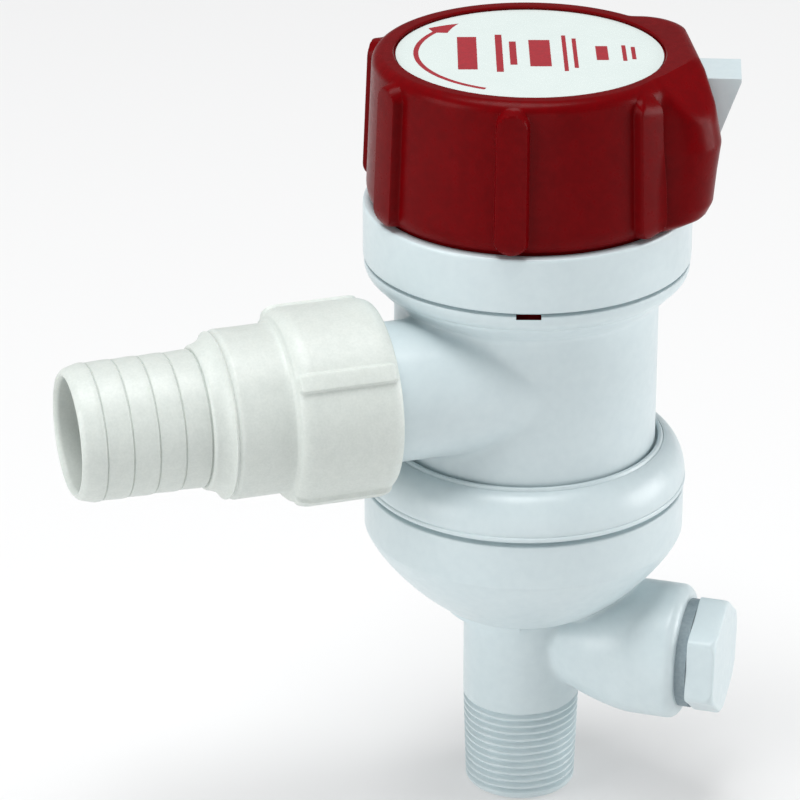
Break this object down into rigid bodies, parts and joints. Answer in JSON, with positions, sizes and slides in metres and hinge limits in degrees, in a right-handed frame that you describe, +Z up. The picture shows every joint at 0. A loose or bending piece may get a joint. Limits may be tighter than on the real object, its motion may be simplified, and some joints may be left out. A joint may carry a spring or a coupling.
{
  "type": "cartridge livewell pump",
  "caption": "White livewell pump with a threaded bottom inlet, a plugged side inlet, a barbed hose outlet with union nut, and a red bayonet cartridge with a lock catch.",
  "frame": {"origin": "centre of the lower end of the inlet thread", "axes": "+Z up the pump from the inlet thread to the cap, -X along the hose outlet"},
  "size_m": [0.1551, 0.0746, 0.1786],
  "materials": {
    "white_plastic": "smooth moulded",
    "nylon": "fine matt moulded",
    "red_plastic": "smooth moulded",
    "label_white": "printed film",
    "seal_rubber": "smooth",
    "plate_plastic": "smooth moulded",
    "can_steel": "drawn and zinc plated",
    "ferrite": "sintered",
    "bell_plastic": "moulded",
    "bronze": "sintered",
    "contact_brass": "stamped",
    "carbon": "pressed",
    "spring_steel": "drawn wire",
    "shaft_steel": "ground",
    "core_steel": "laminated",
    "copper": "enamelled wire and bar",
    "washer_nylon": "stamped",
    "impeller_plastic": "moulded"
  },
  "bodies": {
    "housing": {"lower_housing": "white_plastic", "eye_plate": "plate_plastic", "bowl_seal": "seal_rubber", "pump_housing": "white_plastic", "bayonet_ring": "white_plastic"},
    "tail": {"hose_tail": "nylon", "outlet_washer": "seal_rubber"},
    "nut": {"union_nut": "nylon"},
    "side_seal": {"plug_seal": "seal_rubber"},
    "plug": {"port_plug": "white_plastic"},
    "cartridge": {"cartridge_cap": "red_plastic", "label_disc": "label_white", "cartridge_case": "red_plastic", "upper_o_ring": "seal_rubber", "lower_o_ring": "seal_rubber", "motor_can": "can_steel", "magnets": "ferrite", "end_bell": "bell_plastic", "upper_bearing": "bronze", "lower_bearing": "bronze", "brush_holders": "contact_brass", "brushes": "carbon", "brush_springs": "spring_steel", "terminals": "contact_brass", "shaft_seal": "seal_rubber", "wire_grommet": "seal_rubber", "catch_springs": "spring_steel"},
    "catch": {"lock_catch": "white_plastic"},
    "rotor": {"motor_shaft": "shaft_steel", "armature_core": "core_steel", "windings": "copper", "commutator": "copper", "thrust_washers": "washer_nylon", "impeller": "impeller_plastic"}
  },
  "joints": [
    {"name": "tail_slide", "type": "slide", "parent": "housing", "child": "tail", "axis": [-1, 0, 0], "range_m": [0, 0.01]},
    {"name": "nut_turn", "type": "hinge", "parent": "tail", "child": "nut", "pos_m": [0, -0.0134, 0.1085], "axis": [-1, 0, 0], "range_deg": [0, 1440]},
    {"name": "side_seal_slide", "type": "slide", "parent": "housing", "child": "side_seal", "axis": [0.8192, -0.5736, 0], "range_m": [0, 0.0127]},
    {"name": "plug_turn", "type": "hinge", "parent": "side_seal", "child": "plug", "pos_m": [0, 0, 0.038], "axis": [0.8192, -0.5736, 0], "range_deg": [0, 2520]},
    {"name": "cartridge_turn", "type": "hinge", "parent": "housing", "child": "cartridge", "pos_m": [0, 0, 0], "axis": [0, 0, 1], "range_deg": [0, 20]},
    {"name": "catch_lift", "type": "slide", "parent": "cartridge", "child": "catch", "axis": [0, 0, 1], "range_m": [0, 0.0018], "stiffness_N_per_m": 300, "springref_m": -0.003, "deforming": ["catch_springs"]},
    {"name": "rotor_spin", "type": "hinge", "parent": "cartridge", "child": "rotor", "pos_m": [0, 0, 0.1], "axis": [0, 0, 1], "continuous": true}
  ],
  "couplings": [
    {"joint": "tail_slide", "follows": "nut_turn", "m_per_rad": 0.00039789},
    {"joint": "side_seal_slide", "follows": "plug_turn", "m_per_rad": 0.00028871},
    {"joint": "catch_lift", "follows": "cartridge_turn", "m_per_rad": 0.0051566}
  ]
}
